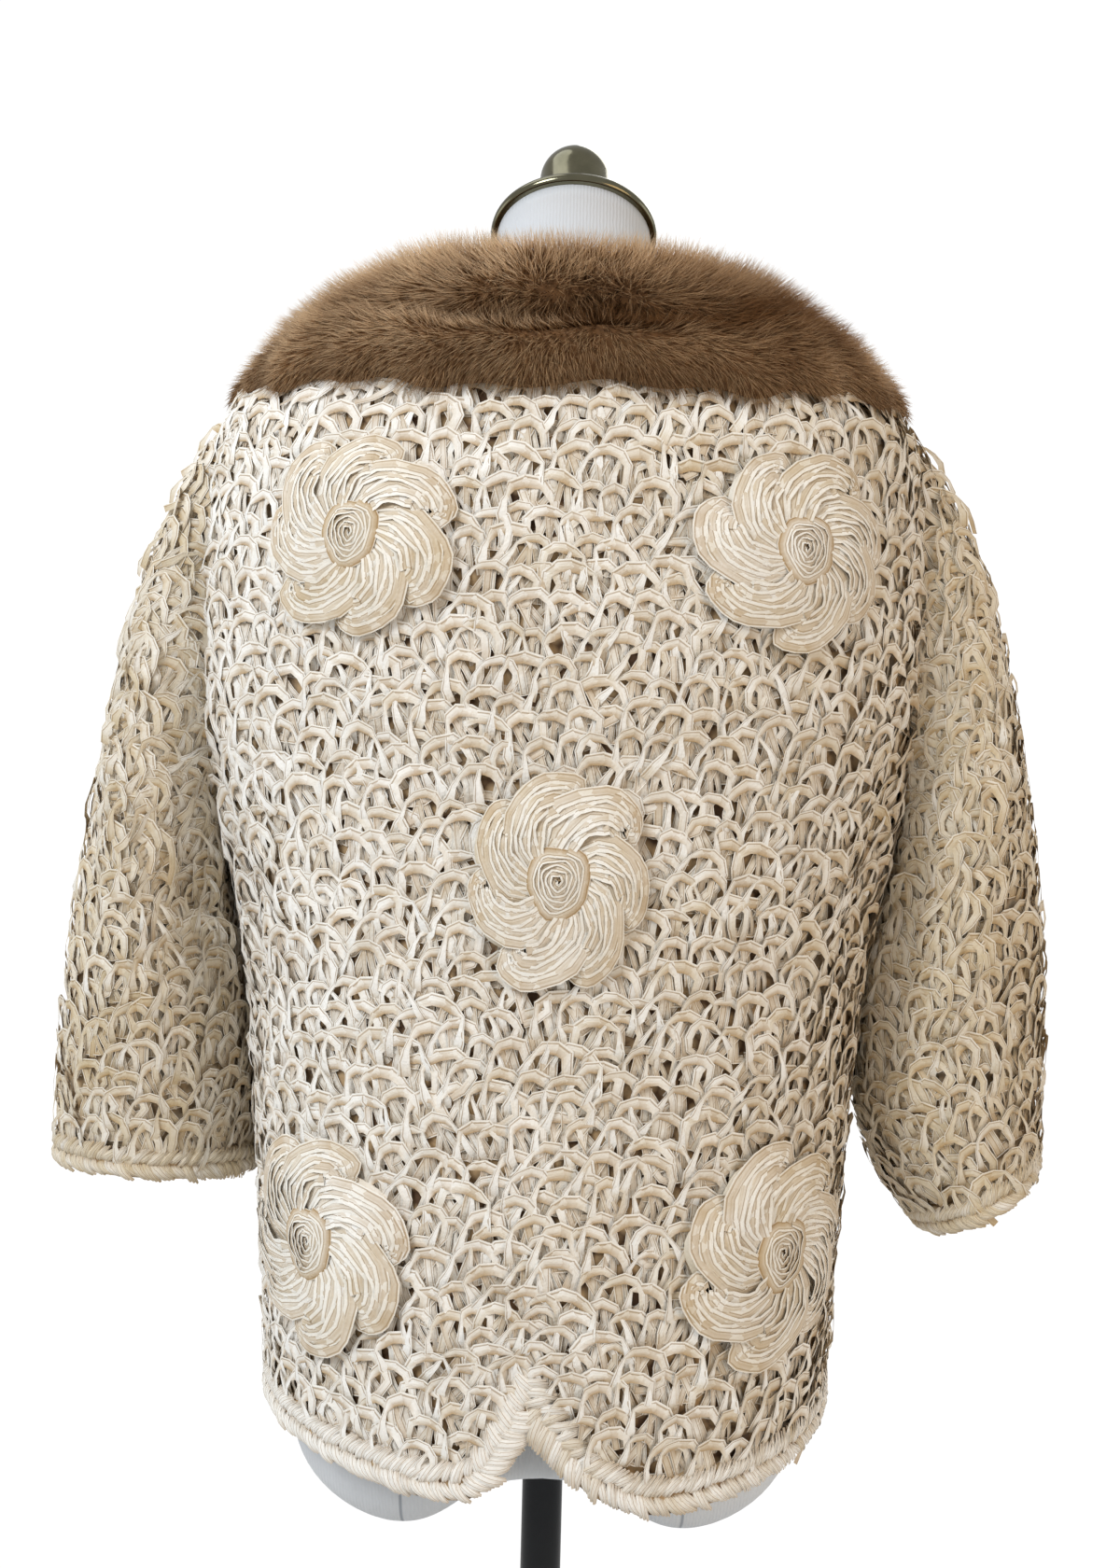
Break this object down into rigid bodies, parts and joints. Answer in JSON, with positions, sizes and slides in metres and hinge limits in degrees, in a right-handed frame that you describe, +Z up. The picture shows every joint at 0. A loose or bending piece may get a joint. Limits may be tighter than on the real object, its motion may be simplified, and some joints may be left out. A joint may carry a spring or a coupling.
{
  "type": "cropped crocheted ribbon jacket on a limbless dress form",
  "caption": "Cropped jacket of crocheted ribbon with a wide fur collar, swirl flowers and rope edging, worn by a limbless dress form on a pole stand.",
  "frame": {"origin": "centre of the foot's underside, on the pole's axis", "axes": "+Z up the pole, the jacket's back faces -Y, +X towards the wearer's right"},
  "size_m": [0.5522, 0.3027, 0.9809],
  "materials": {
    "ribbon": "crocheted satin ribbon straw",
    "fur": "dense short fur",
    "cotton": "stretched cotton jersey",
    "bronze": "dark aged bronze",
    "black_steel": "gloss black"
  },
  "bodies": {
    "root": {"back": "ribbon", "front_left": "ribbon", "front_right": "ribbon", "sleeve_left": "ribbon", "sleeve_right": "ribbon", "hem_edging_back_left": "ribbon", "hem_edging_back_right": "ribbon", "hem_edging_front_left": "ribbon", "hem_edging_front_right": "ribbon", "front_edging_left": "ribbon", "front_edging_right": "ribbon", "cuff_edging_left": "ribbon", "cuff_edging_right": "ribbon", "flower_upper_left": "ribbon", "flower_upper_right": "ribbon", "flower_middle": "ribbon", "flower_lower_left": "ribbon", "flower_lower_right": "ribbon", "fur_collar": "fur", "dress_form": "cotton", "neck_cap": "bronze", "pole": "black_steel", "foot": "black_steel"}
  },
  "joints": []
}
